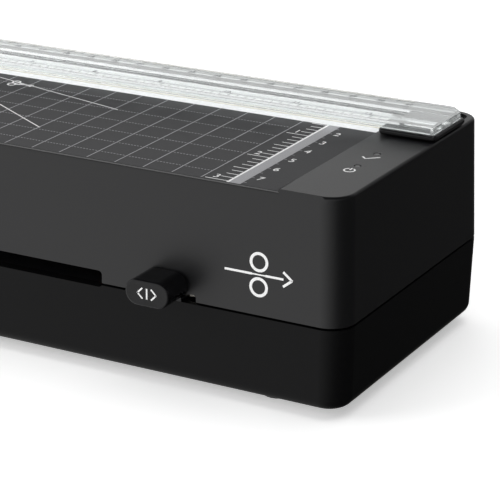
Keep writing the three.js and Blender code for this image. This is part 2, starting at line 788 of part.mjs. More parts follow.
// The release: a plate behind the front wall with a ramp on top, moved by the knob. The ramp lifts an arm
// on the right upper bearing, and a bar carries the lift to the left one.
const rampZ = seamZ + release.rampFoot;
const rampStart = rightPlateX - gap - bearing.thickness - release.rampLead;
const rampEnd = rampStart + release.rampLength;
const rampTop = rampZ + release.slope * release.rampLength;
const rampAt = (x) => rampZ + release.slope * (x - rampStart);
const sliderFront = frontY + casing.wall + casing.lipWall + 2 * gap;
const sliderRear = sliderFront + release.plate;
const stemLow = seamZ + gap;

function upperBearingRight() {
  const low = rightPlateX - gap - bearing.thickness;
  const high = rightPlateX - gap;
  const armBottom = upperAxisZ + bearing.armAbove;
  const nose = polygon([
    [low, rampAt(low) + release.lostMotion], [high, rampAt(high) + release.lostMotion],
    [high, armBottom + 1], [low, armBottom + 1],
  ]);
  return join([
    bearingBlock(-1, upperAxisZ),
    block(
      [low, sliderFront, armBottom], [high, rollerY - bearing.front + 1, armBottom + bearing.armHeight]),
    prism('y', nose, sliderFront, sliderRear + 2),
  ]);
}

function releaseKnob() {
  const { width, height, reach } = knob;
  const head = roundedRectangle(
    knobX - width / 2, knobX + width / 2, knobZ - height / 2, knobZ + height / 2, height / 2 - 0.05);
  return prism('y', head, frontY - reach, frontY - 0.5, { chamfer: 0.8, curveSegments: 5 }).add(block(
    [knobX - stemHalf, frontY - 1, stemLow],
    [knobX + stemHalf, sliderFront - gap, seamZ + knob.slotAbove - gap]));
}

function releaseSlider() {
  const low = seamZ + release.low;
  const tailLeft = knobX - release.tail;
  const tailRight = knobX + release.tail;
  return prism('y', polygon([
    [rampStart, low], [tailLeft, low], [tailLeft, stemLow], [tailRight, stemLow],
    [tailRight, rampTop], [rampEnd, rampTop], [rampStart, rampZ],
  ]), sliderFront, sliderRear);
}

piece('left_side_plate', sidePlate(1), steel);
piece('right_side_plate', sidePlate(-1), steel);
for (const [place, y] of [['front', plateFront + frame.tieInset], ['rear', plateRear - frame.tieInset]]) {
  piece(`${place}_tie_bar`, bar(
    'x', frame.tieRadius, leftPlateX + gap, rightPlateX - gap, [y, floorZ + frame.tieHeight], 10), steel);
}
piece('lower_bearing_left', bearingBlock(1, lowerAxisZ), acetal);
piece('lower_bearing_right', bearingBlock(-1, lowerAxisZ), acetal);
piece('upper_bearing_left', bearingBlock(1, upperAxisZ), acetal);
piece('upper_bearing_right', upperBearingRight(), acetal);
piece('lift_bar', block(
  [leftPlateX + 2 * gap + bearing.thickness, rollerY + roller.radius + 1.5, upperAxisZ - 4],
  [rightPlateX - 2 * gap - bearing.thickness, rollerY + roller.radius + 4, upperAxisZ + 4]), steel);
piece('release_knob', releaseKnob(), glossPlastic);
piece('release_slider', releaseSlider(), acetal);

const toBearing = gap + bearing.thickness / 2;
for (const [side, x] of [['left', leftPlateX + toBearing], ['right', rightPlateX - toBearing]]) {
  const low = upperAxisZ + Math.max(bearing.height / 2, bearing.armAbove + bearing.armHeight) + gap;
  const high = plateTop - frame.thickness - gap;
  piece(`pressure_spring_${side}`, coilSpring(low, high), springSteel, [x, rollerY, 0]);
}

// ---------------------------------------------------------------- rollers and drive

function gearWheel(teeth, bore) {
  const pitch = (gearModule * teeth) / 2;
  const step = (Math.PI * 2) / teeth;
  const root = [-0.24, pitch - gear.dedendum * gearModule]; // turn in tooth steps, then radius
  const tip = [-0.1, pitch + gear.addendum * gearModule];
  const corners = [root, tip];
  const outline = polygon(Array.from({ length: teeth }, (_, tooth) => [
    ...corners, ...corners.map(([turn, radius]) => [-turn, radius]).reverse(),
  ].map(([turn, radius]) => {
    const angle = (tooth + turn) * step;
    return [radius * Math.cos(angle), radius * Math.sin(angle)];
  })).flat());
  if (bore) outline.holes.push(new THREE.Path().absarc(0, 0, bore, 0, Math.PI * 2));
  return prism('x', outline, 0, gear.width, { curveSegments: 6 });
}

const sleeveLeft = slotLeft + 1;
const sleeveRight = slotRight - 1;

function rollerCore() {
  return join([
    bar('x', roller.coreRadius, sleeveLeft - 0.6, sleeveRight + 0.6, [0, 0], 20),
    bar('x', roller.journalRadius, leftPlateX - 4, gearX + gear.width + 0.8),
  ]);
}

function rollerSleeve() {
  const outline = new THREE.Shape().absarc(0, 0, roller.radius, 0, Math.PI * 2);
  outline.holes.push(new THREE.Path().absarc(0, 0, roller.coreRadius + gap, 0, Math.PI * 2));
  return prism('x', outline, sleeveLeft, sleeveRight, { curveSegments: 14 });
}

const upperMesh = Math.PI / gear.teeth; // half a tooth, so that the two gears meet tooth to gap
const pinionMesh = Math.PI / gear.pinionTeeth;
for (const [place, axisZ, mesh] of [['lower', lowerAxisZ, 0], ['upper', upperAxisZ, upperMesh]]) {
  const axle = group([0, rollerY, axisZ]);
  piece(`${place}_roller_core`, rollerCore(), aluminium, [0, 0, 0], axle);
  piece(`${place}_roller_sleeve`, rollerSleeve(), silicone, [0, 0, 0], axle);
  piece(`${place}_roller_gear`, gearWheel(gear.teeth, roller.journalRadius + gap), acetal, [0, 0, 0],
    group([gearX, 0, 0], [mesh, 0, 0], axle));
}

const pinionAxle = group([gearX, pinionY, lowerAxisZ], [pinionMesh, 0, 0]);
const motorShaft = bar('x', motor.shaft, gear.width - 0.5, motorX - gap - gearX, [0, 0], 12);
piece('motor_pinion', gearWheel(gear.pinionTeeth, 0).add(motorShaft), acetal, [0, 0, 0], pinionAxle);

const motorY = pinionY - motor.beforeShaft;
const motorZ = floorZ + motor.aboveFloor + motor.radius;

function motorBody() {
  const shell = bar('x', motor.radius, motorX, motorX + motor.length, [motorY, motorZ], 28);
  const terminals = block(
    [motorX + 5, motorY - 7, motorZ + motor.radius - 1],
    [motorX + motor.length - 4, motorY + 7, motorZ + motor.radius + motor.terminals]);
  return shell.add(terminals);
}

// A plate stands off the right side plate on three pillars and carries the motor.
function motorBracket() {
  const low = floorZ + 1.3;
  const front = motorY - motor.radius;
  const rear = motorY + motor.radius + 1;
  const corner = motor.pillar + 1.5; // pillar's middle to the plate's edges
  const pillars = [
    [front + corner, low + corner],
    [front + corner, motorZ + motor.radius - corner],
    [rollerY - gearTip, low + corner - 0.6], // clear of the lower roller's gear
  ];
  return cut(join([
    block([bracketX, front, low], [bracketX + motor.bracket, rear, motorZ + motor.radius]),
    ...pillars.map((place) => bar(
      'x', motor.pillar, rightPlateX + frame.thickness + gap, bracketX + 0.5, place, 10)),
  ]), [bar('x', motor.shaft + 0.8, bracketX - 1, motorX, [pinionY, lowerAxisZ], 12)]);
}

piece('motor_body', motorBody(), steel);
piece('motor_bracket', motorBracket(), steel);

// ---------------------------------------------------------------- heaters and guides

const plateEnds = [leftPlateX + gap, rightPlateX - gap];
const heaterFront = frontY + heater.setback;
const heaterRear = rollerY - roller.radius - 3;
const heaterMiddle = (heaterFront + heaterRear) / 2;

// up is 1 for the plate above the pouch and -1 for the one below it.
function heatPlate(up) {
  const inner = nipZ + (up * heater.gap) / 2;
  const outer = inner + up * heater.plate;
  const outline = [
    [heaterFront, outer], [heaterRear, outer], [heaterRear, inner], [heaterFront + 4, inner],
    [heaterFront, inner + up * 1.5],
  ];
  return prism('x', polygon(up < 0 ? outline : outline.reverse()), ...plateEnds);
}

function heaterStrip(up) {
  const from = nipZ + up * (heater.gap / 2 + heater.plate + gap);
  const [low, high] = [from, from + up * heater.strip].sort(rising);
  return block(
    [slotLeft, heaterMiddle - heater.stripWidth / 2, low],
    [slotRight, heaterMiddle + heater.stripWidth / 2, high]);
}

const stripTop = nipZ + heater.gap / 2 + heater.plate + gap + heater.strip;
const shield = { thickness: 0.8, above: 9, front: 2, foot: 6 };
const shieldTop = stripTop + shield.above;
const shieldFront = heaterFront - shield.front;
const shieldFoot = nipZ + shield.foot;

piece('upper_heat_plate', heatPlate(1), aluminium);
piece('lower_heat_plate', heatPlate(-1), aluminium);
piece('upper_heater_strip', heaterStrip(1), mica);
piece('lower_heater_strip', heaterStrip(-1), mica);
piece('thermostat', turned([
  [0, 0], [6.5, 0], [6.5, 2], [5, 2], [5, 5.5], [0, 5.5],
]), steel, [slotMiddle, heaterMiddle, stripTop + gap]);
piece('heat_shield', prism('x', polygon([
  [shieldFront, shieldFoot],
  [shieldFront + shield.thickness, shieldFoot],
  [shieldFront + shield.thickness, shieldTop - shield.thickness],
  [heaterRear - 2, shieldTop - shield.thickness],
  [heaterRear - 2, shieldTop],
  [shieldFront, shieldTop],
]), slotLeft, slotRight), aluminium);

function pouchGuide(front, rear) {
  const top = slotBottom - gap;
  return prism('x', polygon([
    [front, top - guide.thickness], [rear, top - guide.thickness], [rear, top], [front, top],
  ]), slotLeft + 1, slotRight - 1);
}

piece('entry_guide', pouchGuide(frontY + guide.fromWall, heaterFront - guide.toPlate), blackPlastic);
piece('exit_guide', pouchGuide(
  rollerY + roller.radius + guide.toRoller, rearY - guide.fromWall), blackPlastic);

// ---------------------------------------------------------------- electrics

const boardTop = board.height + board.thickness;
piece('circuit_board', block(
  [boardLeft, frontY + board.front, board.height], [boardRight, rearY - board.rear, boardTop],
).add(bar(
  'z', capacitor.radius, boardTop - 1, boardTop + capacitor.height,
  [boardLeft + capacitor.fromLeft, rollerY + capacitor.behindRollers])), circuitGreen);
piece('transformer', block(
  [boardLeft + transformer.left, rollerY - transformer.front, boardTop + gap],
  [boardLeft + transformer.right, rollerY - transformer.rear, boardTop + gap + transformer.height],
), charcoalVinyl);

function switchFrame() {
  const { reach, bezel, shell, deep } = powerSwitch;
  const sleeve = switchOutline(0, 1);
  const flange = switchOutline(bezel, 1 + bezel);
  const bore = switchOutline(-shell, 0.5);
  return cut(join([
    prism('y', sleeve, rearY - deep, rearY + 1, { curveSegments: 2 }),
    prism('y', flange, rearY + gap, rearY + reach, { curveSegments: 2 }),
  ]), [prism('y', bore, rearY - deep + 3, rearY + reach + 1, { curveSegments: 2 })]);
}

// The rocker is drawn about its pivot, level, and rests with its left end pressed in.
const rockerHalf = powerSwitch.width / 2 - 2.9;
const rockerHeight = powerSwitch.height - 2 * (powerSwitch.shell + gap);
const rockerDepth = 3; // pivot behind the casing's rear face

function switchRocker() {
  return prism('z', polygon([
    [-rockerHalf, -1.5], [0, -4.5], [rockerHalf, -1.5], [rockerHalf, 4.6], [0, 3.6], [-rockerHalf, 4.6],
  ]), -rockerHeight / 2, rockerHeight / 2);
}

piece('switch_frame', switchFrame(), glossPlastic);
piece('switch_rocker', switchRocker(), glossPlastic, [0, 0, 0], group(
  [switchX, rearY - rockerDepth, powerSwitch.centre],
  [0, 0, THREE.MathUtils.degToRad(powerSwitch.swing)]));

// The mains lead leaves through a gland in the rear wall.
piece('cable_gland', turned([
  [gland.radius - 2.2, -6], [gland.radius, -6], [gland.radius, gap], [gland.radius + 2.5, gap],
  [gland.radius + 2.5, 1.5], [gland.radius - 0.5, gland.reach], [gland.radius - 2.2, gland.reach],
  [gland.radius - 2.2, -6],
]), blackPlastic, [0, 0, 0], group([glandX, rearY, gland.height], [-Math.PI / 2, 0, 0]));

export default machine;
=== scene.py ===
import json
import math

import bpy
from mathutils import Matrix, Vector


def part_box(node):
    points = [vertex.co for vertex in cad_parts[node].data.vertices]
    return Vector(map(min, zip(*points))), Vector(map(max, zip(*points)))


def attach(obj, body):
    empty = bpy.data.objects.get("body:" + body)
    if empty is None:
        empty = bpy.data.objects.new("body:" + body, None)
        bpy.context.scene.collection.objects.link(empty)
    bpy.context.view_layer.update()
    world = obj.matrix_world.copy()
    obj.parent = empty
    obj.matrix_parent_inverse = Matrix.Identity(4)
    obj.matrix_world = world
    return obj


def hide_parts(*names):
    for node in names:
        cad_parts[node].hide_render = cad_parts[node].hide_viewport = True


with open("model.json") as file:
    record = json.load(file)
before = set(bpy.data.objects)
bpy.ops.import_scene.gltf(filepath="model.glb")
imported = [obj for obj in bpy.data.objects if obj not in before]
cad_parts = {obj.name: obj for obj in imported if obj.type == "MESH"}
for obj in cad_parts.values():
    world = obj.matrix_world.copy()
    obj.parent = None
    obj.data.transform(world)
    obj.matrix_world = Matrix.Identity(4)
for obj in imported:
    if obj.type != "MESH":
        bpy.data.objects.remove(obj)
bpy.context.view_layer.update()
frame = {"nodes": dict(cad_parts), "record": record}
mm = 0.001
gap = 0.3 * mm  # left between two pieces that touch


# small tools

def boxOf(node):
    low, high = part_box(node)
    return Vector(low), Vector(high)


def makeActive(piece):
    if bpy.context.object and bpy.context.object.mode != "OBJECT":
        bpy.ops.object.mode_set(mode="OBJECT")
    bpy.ops.object.select_all(action="DESELECT")
    if piece:
        piece.select_set(True)
        bpy.context.view_layer.objects.active = piece


def settle(piece, name):  # the place goes into the mesh, so that the object itself sits at the origin
    piece.name = name
    makeActive(piece)
    bpy.ops.object.transform_apply(location=True, rotation=True, scale=True)
    return piece


def blockOf(name, low, high):
    makeActive(None)
    centre = [(a + b) / 2 for a, b in zip(low, high)]
    bpy.ops.mesh.primitive_cube_add(size=1, location=centre, scale=[b - a for a, b in zip(low, high)])
    return settle(bpy.context.object, name)


def rodOf(name, axis, radius, start, end, place, sides=48):
    makeActive(None)  # place holds the two coordinates across the axis, in the order x, y, z
    turns = {"x": (0, math.pi / 2, 0), "y": (math.pi / 2, 0, 0), "z": (0, 0, 0)}
    middle = (start + end) / 2
    centres = {"x": (middle, *place), "y": (place[0], middle, place[-1]), "z": (*place, middle)}
    bpy.ops.mesh.primitive_cylinder_add(
        vertices=sides, radius=radius, depth=end - start, location=centres[axis], rotation=turns[axis])
    return settle(bpy.context.object, name)


def pick(piece, kind, test):  # enters edit mode with what passes the test selected
    makeActive(piece)
    bpy.ops.object.mode_set(mode="EDIT")
    bpy.ops.mesh.select_mode(type={"vertices": "VERT", "edges": "EDGE", "polygons": "FACE"}[kind])
    bpy.ops.mesh.select_all(action="DESELECT")
    bpy.ops.object.mode_set(mode="OBJECT")
    mesh = piece.data
    for part in getattr(mesh, kind):
        corners = [part.co] if kind == "vertices" else [mesh.vertices[i].co for i in part.vertices]
        part.select = bool(test(corners))
    bpy.ops.object.mode_set(mode="EDIT")


def leaveEdit():
    bpy.ops.object.mode_set(mode="OBJECT")


def near(value, target, slack=0.01 * mm):
    return abs(value - target) < slack


def bevelWhere(piece, test, width, segments):
    pick(piece, "edges", test)
    bpy.ops.mesh.bevel(offset=width, segments=segments, affect="EDGES")
    leaveEdit()
    return piece


def roundedBlock(name, low, high, radius, axis=2, segments=10):  # the four edges along one axis are rounded
    across = [i for i in range(3) if i != axis]
    piece = blockOf(name, low, high)
    return bevelWhere(
        piece, lambda ends: all(near(ends[0][i], ends[1][i]) for i in across), radius, segments)


def rimWhere(axis, level):  # edges that lie in the plane at that level
    return lambda ends: near(ends[0][axis], level) and near(ends[1][axis], level)


def drawIn(piece, level, inset):  # narrows the end at that height, as the draft of a moulding does
    xs = [vertex.co.x for vertex in piece.data.vertices]
    ys = [vertex.co.y for vertex in piece.data.vertices]
    scale = [1 - 2 * inset / (max(places) - min(places)) for places in (xs, ys)]
    centre = [(max(places) + min(places)) / 2 for places in (xs, ys)]
    pick(piece, "vertices", lambda at: near(at[0].z, level))
    bpy.ops.transform.resize(value=(*scale, 1), center_override=(*centre, level))
    leaveEdit()
    return piece


def runModifier(piece, kind, **settings):
    makeActive(piece)
    modifier = piece.modifiers.new(kind.title(), kind)
    for key, value in settings.items():
        setattr(modifier, key, value)
    bpy.ops.object.modifier_apply(modifier=modifier.name)
    return piece


def combine(piece, others, operation):
    for other in others:
        runModifier(piece, "BOOLEAN", operation=operation, object=other, solver="EXACT")
        bpy.data.objects.remove(other, do_unlink=True)
    return piece


def cutAway(piece, *others):
    return combine(piece, others, "DIFFERENCE")


def addTo(piece, *others):
    return combine(piece, others, "UNION")


def softenEdges(piece, width, segments=2, angle=40):
    return runModifier(piece, "BEVEL", width=width, segments=segments, limit_method="ANGLE",
                       angle_limit=math.radians(angle))


def joinAll(name, parts):
    makeActive(parts[0])
    for part in parts:
        part.select_set(True)
    if len(parts) > 1:
        bpy.ops.object.join()
    parts[0].name = name
    return parts[0]


def repeatAlong(piece, count, step):  # rows of one mark, each copy a fixed step from the last
    return runModifier(piece, "ARRAY", count=count, use_relative_offset=False, use_constant_offset=True,
                       constant_offset_displace=step)


def finishPiece(piece, body, material, replaced=(), smooth=35):
    makeActive(piece)
    if smooth:
        bpy.ops.object.shade_smooth_by_angle(angle=math.radians(smooth))
        # flat faces stay flat beside a rounded edge
        runModifier(piece, "WEIGHTED_NORMAL", weight=50, keep_sharp=True)
    piece.data.materials.clear()
    piece.data.materials.append(material)
    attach(piece, body)
    if replaced:
        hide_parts(*replaced)
    return piece


# camera, floor and light

cameraView = {
    "place": (439.45 * mm, -572.18 * mm, 271.26 * mm),
    "pitchDown": 20.171,  # degrees
    "turn": 28.963,
    "lens": 157.78,
}
studio = {
    "brightSide": (-0.8, -0.3, 0.5),  # where most of the room's light comes from
    "sideRange": (-0.6, 0.35),  # from the dim side of the room to the bright one
    "dimmest": 0.04,
    "brightest": 1.0,
    "ceilingRange": (0.42, 0.72),  # height at which the dark ceiling begins and is full
    "ceiling": 0.06,
    "lamps": {  # place, target, size in metres and watts
        "overhead": ((0.1, 0.2, 1.7), (0, 0, 0), (2.4, 2.0), 23),
        "key": ((-1.2, -1.2, 0.9), (0, 0, 0.03), (0.9, 0.9), 10),
    },
    "floorSize": 12,  # metres
}


def linear(code):  # sRGB hex to the linear values that a shader wants
    parts = [int(code[i:i + 2], 16) / 255 for i in (1, 3, 5)]
    return tuple(c / 12.92 if c <= 0.04045 else ((c + 0.055) / 1.055) ** 2.4 for c in parts) + (1.0,)


def addNode(tree, kind, settings=None, sockets=None, links=None):
    node = tree.nodes.new(kind)
    for key, value in (settings or {}).items():
        setattr(node, key, value)
    for key, value in (sockets or {}).items():
        node.inputs[key].default_value = value
    for key, source in (links or {}).items():
        tree.links.new(source, node.inputs[key])
    return node


def makeCamera():
    data = bpy.data.cameras.new("camera")
    data.sensor_width = 36
    data.lens = cameraView["lens"]
    camera = bpy.data.objects.new("camera", data)
    camera.location = cameraView["place"]
    tilt = math.radians(90 - cameraView["pitchDown"])
    camera.rotation_euler = (tilt, 0, math.radians(cameraView["turn"]))
    bpy.context.collection.objects.link(camera)
    bpy.context.scene.camera = camera


def softLight(name, place, target, size, power):
    data = bpy.data.lights.new(name, "AREA")
    data.shape = "RECTANGLE"
    data.size, data.size_y = size
    data.energy = power
    light = bpy.data.objects.new(name, data)
    light.location = place
    light.rotation_euler = (Vector(target) - Vector(place)).to_track_quat("-Z", "Y").to_euler()
    light.visible_glossy = False  # it lights the paper without a hot spot on the plastic
    bpy.context.collection.objects.link(light)


def makeStudio():
    world = bpy.data.worlds.new("studio")
    world.use_nodes = True
    tree = world.node_tree
    towards = addNode(tree, "ShaderNodeTexCoord").outputs["Generated"]
    side = addNode(
        tree, "ShaderNodeVectorMath", {"operation": "DOT_PRODUCT"}, {1: studio["brightSide"]}, {0: towards})
    level = addNode(
        tree, "ShaderNodeMapRange",
        sockets={
            "From Min": studio["sideRange"][0], "From Max": studio["sideRange"][1],
            "To Min": studio["dimmest"], "To Max": studio["brightest"]},
        links={"Value": side.outputs["Value"]})
    height = addNode(tree, "ShaderNodeSeparateXYZ", links={"Vector": towards})
    ceiling = addNode(
        tree, "ShaderNodeMapRange",
        sockets={
            "From Min": studio["ceilingRange"][0], "From Max": studio["ceilingRange"][1],
            "To Min": 1.0, "To Max": studio["ceiling"]},
        links={"Value": height.outputs["Z"]})
    light = addNode(
        tree, "ShaderNodeMath", {"operation": "MULTIPLY"},
        links={0: level.outputs["Result"], 1: ceiling.outputs["Result"]})
    tree.links.new(light.outputs["Value"], tree.nodes["Background"].inputs["Strength"])
    tree.nodes["Background"].inputs["Color"].default_value = (1, 1, 1, 1)
    bpy.context.scene.world = world
    bpy.context.scene.view_settings.view_transform = "Standard"
    for name, lamp in studio["lamps"].items():
        softLight(name, *lamp)
    makeActive(None)
    bpy.ops.mesh.primitive_plane_add(size=studio["floorSize"], location=(0, 0, 0))
    floor = bpy.context.object
    floor.name = "floor"
    floor.visible_glossy = False
    floor.data.materials.append(paperSweep())


# materials

def newMaterial(name, **sockets):
    material = bpy.data.materials.new(name)
    material.use_nodes = True
    tree = material.node_tree
    shader = tree.nodes["Principled BSDF"]
    for key, value in sockets.items():
        shader.inputs[key.replace("_", " ")].default_value = value
    return material, tree, shader


def dress(tree, shader, place, size, colours, sheen, depth, detail=3.0, strength=0.5):
    # one fine pattern drives the two-tone colour, the spread of the roughness and a shallow relief
    fine = addNode(
        tree, "ShaderNodeTexNoise", sockets={"Scale": 1 / size, "Detail": detail, "Roughness": 0.6},
        links={"Vector": place}).outputs["Fac"]
    tint = addNode(tree, "ShaderNodeValToRGB", links={"Fac": fine})
    for element, at, colour in zip(tint.color_ramp.elements, (0.35, 0.65), colours):
        element.position = at
        element.color = linear(colour)
    gloss = addNode(
        tree, "ShaderNodeMapRange", sockets={"To Min": sheen[0], "To Max": sheen[1]}, links={"Value": fine})
    relief = addNode(
        tree, "ShaderNodeBump", sockets={"Distance": depth, "Strength": strength}, links={"Height": fine})
    tree.links.new(tint.outputs["Color"], shader.inputs["Base Color"])
    tree.links.new(gloss.outputs["Result"], shader.inputs["Roughness"])
    tree.links.new(relief.outputs["Normal"], shader.inputs["Normal"])


def objectPlace(tree, stretch=(1, 1, 1)):
    place = addNode(tree, "ShaderNodeTexCoord").outputs["Object"]
    mapping = addNode(tree, "ShaderNodeMapping", sockets={"Scale": stretch}, links={"Vector": place})
    return mapping.outputs["Vector"]


def paperSweep():  # thin white paper lit a little from beneath, so that only a faint contact shadow shows
    return newMaterial(
        "backgroundPaper", Base_Color=linear("#fdfdfd"), Roughness=0.9, Emission_Color=(1, 1, 1, 1),
        Emission_Strength=0.42)[0]


def mouldedAbs(name, colours, sheen, **sockets):
    # injection-moulded ABS from a spark-eroded tool: 0.5 mm grain that turns highlights into a soft satin
    material, tree, shader = newMaterial(name, IOR=1.54, **sockets)
    dress(tree, shader, objectPlace(tree), 0.5 * mm, colours, sheen, 0.012 * mm)
    return material


def polishedAbs(name, colours):  # ABS from a polished tool: deep and glossy, with the faintest ripple
    material, tree, shader = newMaterial(name, IOR=1.54, Specular_IOR_Level=0.28)
    dress(tree, shader, objectPlace(tree), 4 * mm, colours, (0.1, 0.16), 0.004 * mm, 1.0, 0.3)
    return material


def calenderedVinyl():
    # PVC mat: matt charcoal with a pressed leathery grain, drawn at 0.7 mm so that it shows
    material, tree, shader = newMaterial("charcoalVinyl", IOR=1.52)
    dress(tree, shader, objectPlace(tree), 0.7 * mm, ("#202022", "#323234"), (0.5, 0.68), 0.03 * mm, 4.0)
    return material


def drawnAcrylic():
    # extruded PMMA: clear but a little milky with wear, with faint draw lines along its length
    material, tree, shader = newMaterial(
        "clearAcrylic", IOR=1.49, Base_Color=linear("#f7fafa"), Transmission_Weight=0.9)
    lines = addNode(
        tree, "ShaderNodeTexNoise", sockets={"Scale": 1 / (1.5 * mm), "Detail": 1.0},
        links={"Vector": objectPlace(tree, (0.02, 1, 1))}).outputs["Fac"]
    gloss = addNode(
        tree, "ShaderNodeMapRange", sockets={"To Min": 0.01, "To Max": 0.04}, links={"Value": lines})
    relief = addNode(
        tree, "ShaderNodeBump", sockets={"Distance": 0.002 * mm, "Strength": 0.05}, links={"Height": lines})
    tree.links.new(gloss.outputs["Result"], shader.inputs["Roughness"])
    tree.links.new(relief.outputs["Normal"], shader.inputs["Normal"])
    return material


def millMetal(name, colours, sheen, size, stretch=(1, 1, 1)):
    # rolled, drawn or plated metal: grain along the way it was worked, which streaks the reflection
    material, tree, shader = newMaterial(name, Metallic=1.0)
    dress(tree, shader, objectPlace(tree, stretch), size, colours, sheen, 0.01 * mm, 3.0, 0.3)
    return material


def plainSolid(name, colours, sheen, size, depth, **sockets):
    # a polymer, mica or board left as it comes: a quiet mottle at its own scale
    material, tree, shader = newMaterial(name, **sockets)
    dress(tree, shader, objectPlace(tree), size, colours, sheen, depth)
    return material


looks = {
    "black_plastic": mouldedAbs("satinBlackAbs", ("#0a0a0c", "#0f0f11"), (0.34, 0.46)),
    "gloss_black": polishedAbs("polishedBlackAbs", ("#0a0a0b", "#0e0e10")),
    "mat_vinyl": calenderedVinyl(),
    "silver_plastic": plainSolid(
        "silverWhiteAbs", ("#dcddde", "#e9eaeb"), (0.3, 0.4), 1 * mm, 0.004 * mm, IOR=1.54),
    "clear_acrylic": drawnAcrylic(),
    "grey_plastic": mouldedAbs("satinGreyAbs", ("#4a4b4e", "#56575a"), (0.4, 0.5)),
    "rubber": plainSolid(
        "blackRubber", ("#0f0f10", "#1a1a1b"), (0.75, 0.9), 0.9 * mm, 0.03 * mm, IOR=1.52),
    "silicone": plainSolid(
        "redSilicone", ("#9c3122", "#b13a28"), (0.5, 0.65), 2 * mm, 0.02 * mm, IOR=1.41),
    "aluminium": millMetal("millAluminium", ("#a9abad", "#c9cbcd"), (0.28, 0.46), 0.5 * mm, (0.05, 1, 1)),
    "steel": millMetal("zincPlatedSteel", ("#888b8e", "#a9acaf"), (0.28, 0.46), 1.5 * mm),
    "spring_steel": millMetal("drawnSpringSteel", ("#6b6f73", "#8b8f93"), (0.22, 0.4), 0.4 * mm),
    "mica": plainSolid(
        "pressedMica", ("#7d5f38", "#a58558"), (0.4, 0.55), 1.6 * mm, 0.02 * mm, IOR=1.58),
    "acetal": plainSolid(
        "naturalAcetal", ("#d8d5c9", "#e9e6dc"), (0.32, 0.42), 3 * mm, 0.004 * mm, IOR=1.48),
    "circuit": plainSolid(
        "solderMask", ("#124a2b", "#1c6038"), (0.25, 0.36), 2.5 * mm, 0.015 * mm, IOR=1.5),
}
shadedLowerAbs = mouldedAbs(  # the base: the same black ABS painted darker and less shiny, as painted shade for the dark floor it reflects up close
    "shadedBlackAbs", ("#060607", "#0a0a0b"), (0.4, 0.52), Specular_IOR_Level=0.13)
inkWhite = plainSolid("screenInkWhite", ("#e6e6e6", "#f6f6f6"), (0.5, 0.6), 0.3 * mm, 0.004 * mm)
inkPale = plainSolid("screenInkPale", ("#8d8d90", "#a3a3a6"), (0.55, 0.65), 0.3 * mm, 0.004 * mm)
inkGrey = plainSolid("screenInkGrey", ("#98989b", "#a9a9ac"), (0.55, 0.65), 0.3 * mm, 0.004 * mm)
inkDark = plainSolid("screenInkDark", ("#454548", "#545457"), (0.55, 0.65), 0.3 * mm, 0.004 * mm)

makeCamera()
makeStudio()
print("camera, lights and materials done")

upperLow, upperHigh = boxOf("upper_housing")
lowerLow, lowerHigh = boxOf("lower_housing")
matLow, matHigh = boxOf("cutting_mat")
stripLow, stripHigh = boxOf("base_strip")
railLow, railHigh = boxOf("ruler_rail")
knobLow, knobHigh = boxOf("release_knob")


# casing

shell = {
    "wall": 2.2 * mm,
    "cornerRadius": 8 * mm,
    "topEdge": 1 * mm,
    "bottomEdge": 4 * mm,
    "upperDraft": 1.5,  # degrees
    "lowerDraft": 1.8,
    "ceiling": 64.9 * mm,  # underside of the deck
    "panelStart": 156.9 * mm,  # from the middle to the raised end panels
    "deck": 67.1 * mm,
    "matLip": 1.4 * mm,  # front wall left standing in front of the mat
    "troughFloor": 66.6 * mm,
    "troughEnd": 175.25 * mm,
    "troughRear": 51.15 * mm,
    "lip": 1.8 * mm,
    "boss": 4 * mm,
    "slot": ((-135.6 * mm, 28.9 * mm), (96.4 * mm, 34.2 * mm)),  # corners as (x, z)
    "slotRadius": 1.2 * mm,
    "knobSlot": ((105.3 * mm, 26.9 * mm), (129.7 * mm, 32.5 * mm)),
    "reach": 6 * mm,  # how far the cuts go in from each face
    "rimEdge": 0.25 * mm,  # rounding of the two rims at the seam
    "troughEdge": 0.8 * mm,
    "panelEdge": 0.3 * mm,
    "lensHole": 1.2 * mm,
    "screwBore": 1.8 * mm,
    "boreDepth": 34 * mm,
    "screwSink": 3.1 * mm,
    "sinkDepth": 7 * mm,
    "footSeat": 6.3 * mm,
    "boardPost": 2.5 * mm,
    "postInset": 5 * mm,
    "ringInset": 1.7 * mm,  # from the outside of the wall to the lip's root
    "lipInset": 2.5 * mm,  # to its outer face
    "lipInner": 3.7 * mm,  # to its inner face
    "vents": 6,
    "ventSize": (1.5 * mm, 12 * mm),  # half of the width and half of the depth
    "ventMiddle": -4 * mm,
    "ventFirst": -79.6 * mm,
    "ventPitch": 24 * mm,
    "switchHole": (9.8 * mm, 6.8 * mm),  # half of the width and half of the height
    "glandHole": 5.8 * mm,
    "knobRoom": 1.8 * mm,  # the base is cleared for the knob's stem from this far behind its front face
}
seamBelow = 29.6 * mm  # rim of the lower half
frontY, rearY = lowerLow.y, lowerHigh.y


def centreOf(node):
    low, high = boxOf(node)
    return (low + high) / 2


def throughWall(name, corners, radius, faceY):
    (x0, z0), (x1, z1) = corners
    reach = shell["reach"]
    return roundedBlock(name, (x0, faceY - reach, z0), (x1, faceY + reach, z1), radius, 1, 4)


def insetRing(name, inset, low, high):
    return roundedBlock(name, *insetBox(inset, low, high), shell["cornerRadius"] - inset)


def rodsAt(name, places, radius, low, high, sides):
    return [rodOf(name, "z", radius, low, high, place[:2], sides) for place in places]


def insetBox(inset, low, high):
    return (upperLow.x + inset, frontY + inset, low), (upperHigh.x - inset, rearY - inset, high)


screwPlaces = [centreOf(f"housing_screw_{i + 1}") for i in range(4)]
footPlaces = [centreOf(f"foot_{end}_{side}") for end in ("front", "rear") for side in ("left", "right")]


